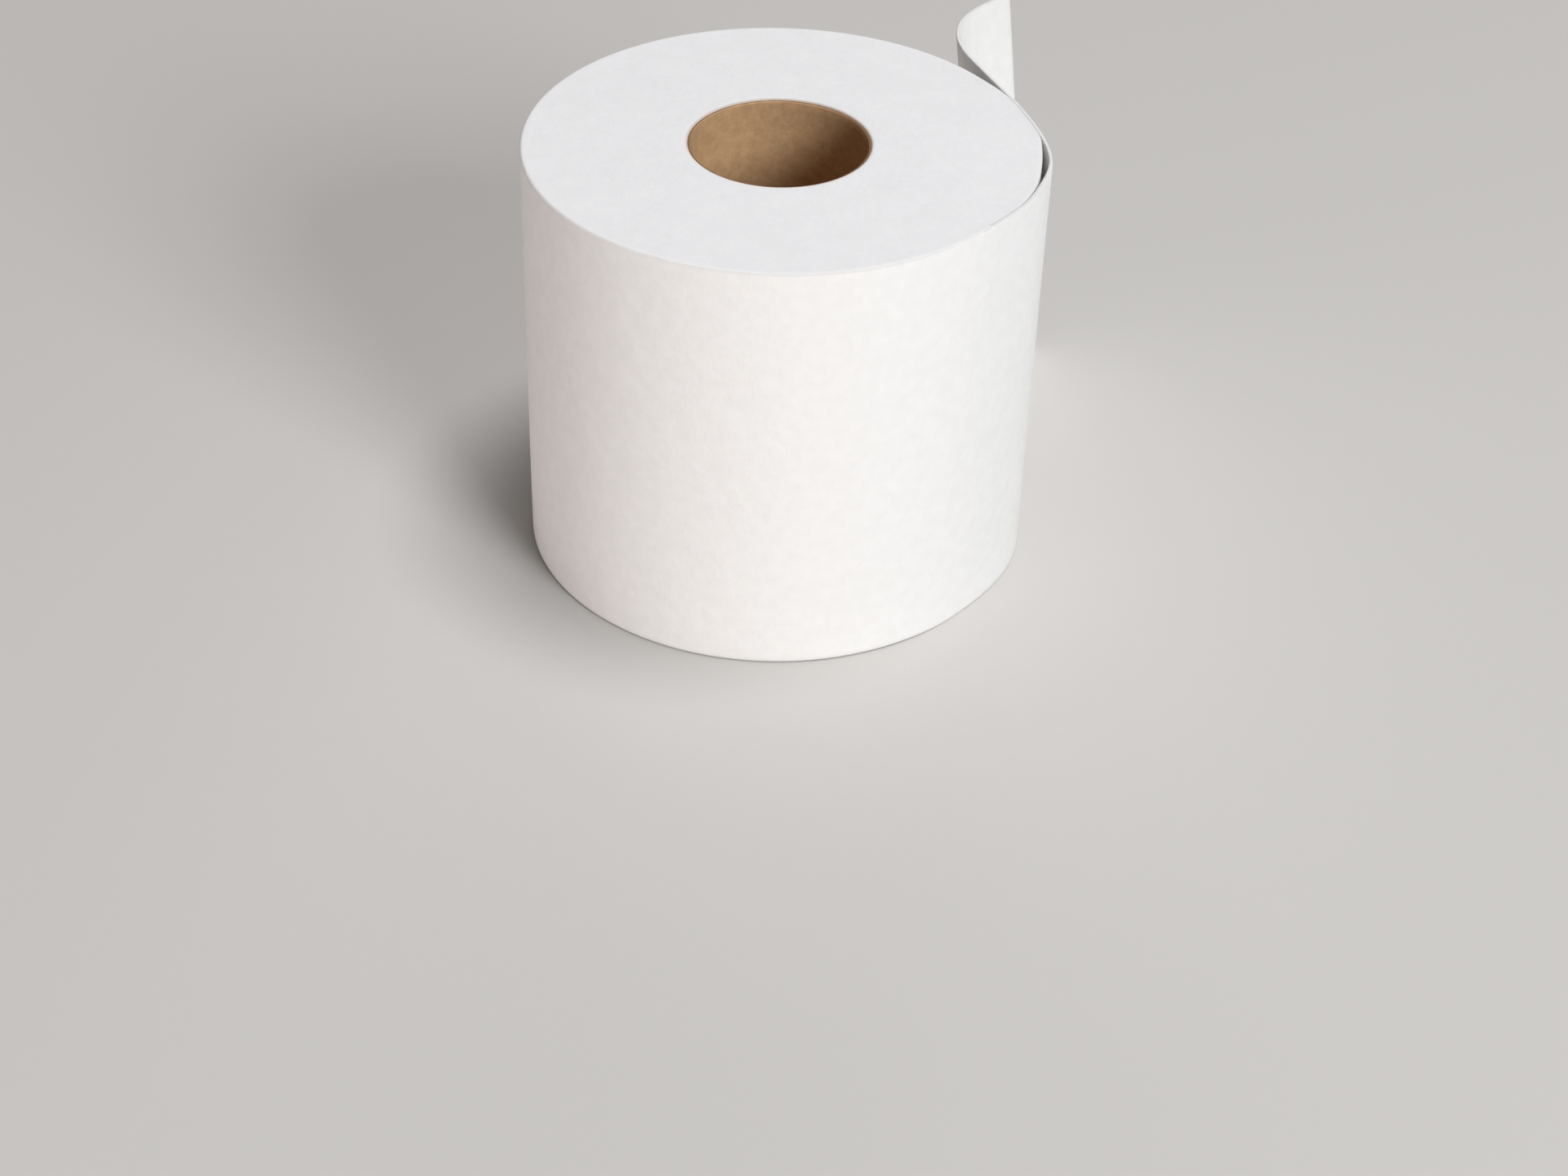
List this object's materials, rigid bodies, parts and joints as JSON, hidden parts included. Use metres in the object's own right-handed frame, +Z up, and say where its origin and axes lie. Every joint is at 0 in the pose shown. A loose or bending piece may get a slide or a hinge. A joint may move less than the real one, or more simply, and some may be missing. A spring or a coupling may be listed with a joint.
{
  "type": "toilet paper roll",
  "caption": "Roll of white toilet paper wound on a brown cardboard tube, standing on its end, with a loose outer turn and a free end that curves away.",
  "frame": {"origin": "on the roll's axis, in the middle of the end that it stands on", "axes": "+Z up along the roll's axis, -Y towards the side seen in the picture, +X to the right in the picture; the free end comes off at the back right"},
  "size_m": [0.1224, 0.1361, 0.1],
  "materials": {
    "tissue": "soft, matt, slightly mottled white tissue",
    "cardboard": "matt brown board with a fibrous grain"
  },
  "bodies": {
    "root": {"core_tube": "cardboard", "paper_winding": "tissue"}
  },
  "joints": []
}
